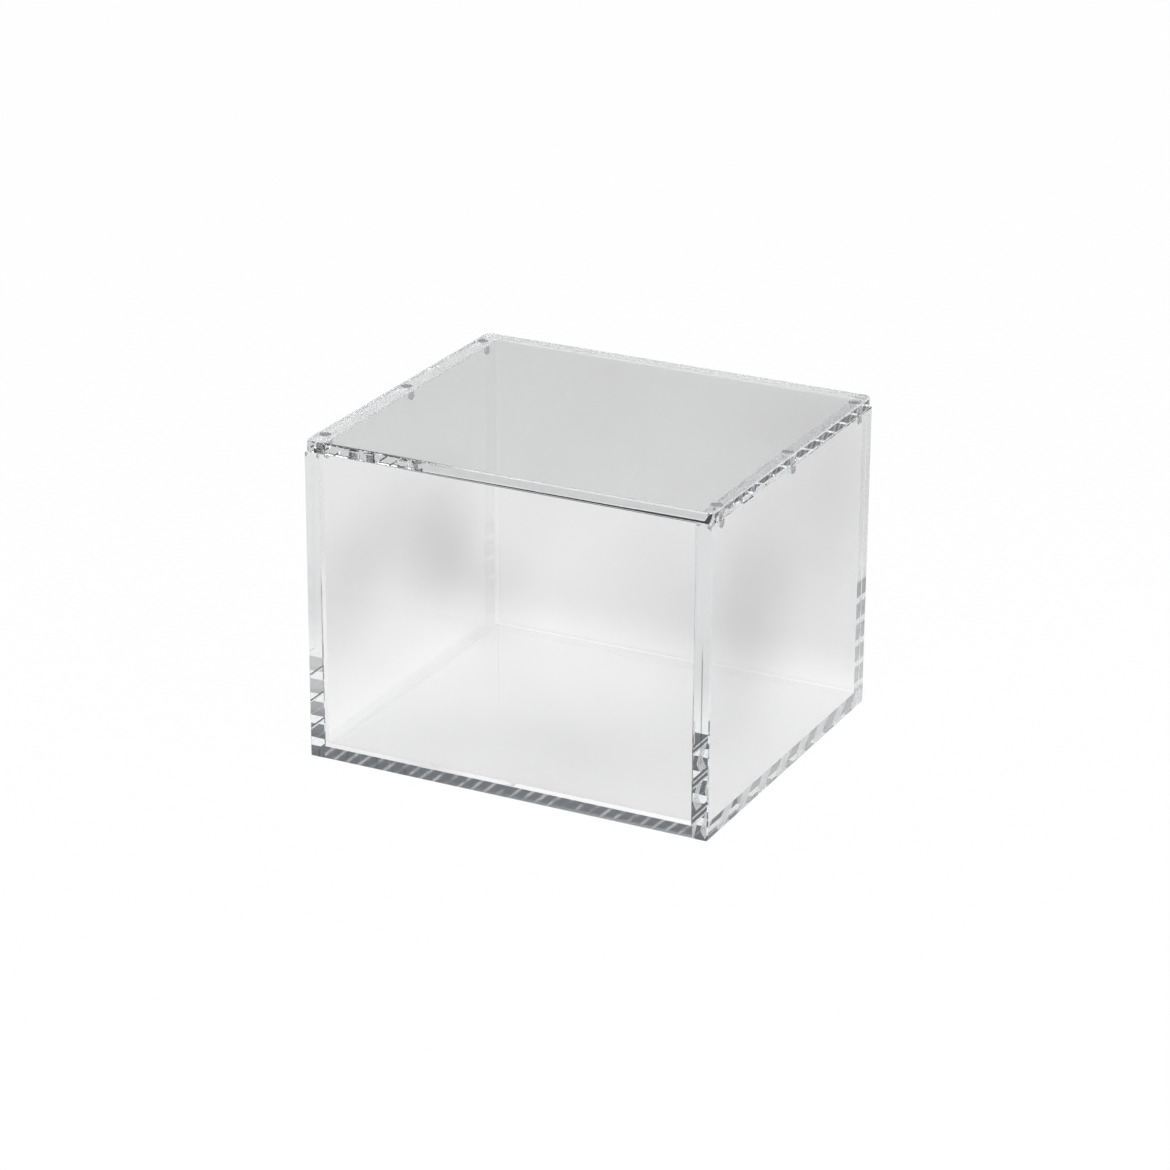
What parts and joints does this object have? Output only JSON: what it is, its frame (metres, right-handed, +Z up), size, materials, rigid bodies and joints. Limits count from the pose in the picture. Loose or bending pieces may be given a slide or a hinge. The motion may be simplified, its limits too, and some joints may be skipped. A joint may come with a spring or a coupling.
{
  "type": "acrylic display case with a magnetic lid",
  "caption": "Clear acrylic display box for a collectible tin, with cemented walls and base and a loose lid held by small disc magnets.",
  "frame": {"origin": "on the table under the middle of the case, in the plane of the underside", "axes": "+X to the right along the case's width as seen from the front, +Y from the front to the back, +Z up through the lid"},
  "size_m": [0.152, 0.131, 0.116],
  "materials": {
    "clear_acrylic": "clear, polished faces and edges",
    "nickel": "satin nickel plate"
  },
  "bodies": {
    "case": {"left_side_panel": "clear_acrylic", "right_side_panel": "clear_acrylic", "front_panel": "clear_acrylic", "back_panel": "clear_acrylic", "base_panel": "clear_acrylic", "case_magnet_left_front": "nickel", "case_magnet_left_middle": "nickel", "case_magnet_left_back": "nickel", "case_magnet_right_front": "nickel", "case_magnet_right_middle": "nickel", "case_magnet_right_back": "nickel"},
    "lid": {"lid_panel": "clear_acrylic", "lid_magnet_left_front": "nickel", "lid_magnet_left_middle": "nickel", "lid_magnet_left_back": "nickel", "lid_magnet_right_front": "nickel", "lid_magnet_right_middle": "nickel", "lid_magnet_right_back": "nickel"}
  },
  "joints": [
    {"name": "lid_lift", "type": "slide", "parent": "case", "child": "lid", "axis": [0, 0, 1], "range_m": [0, 0.06]}
  ]
}
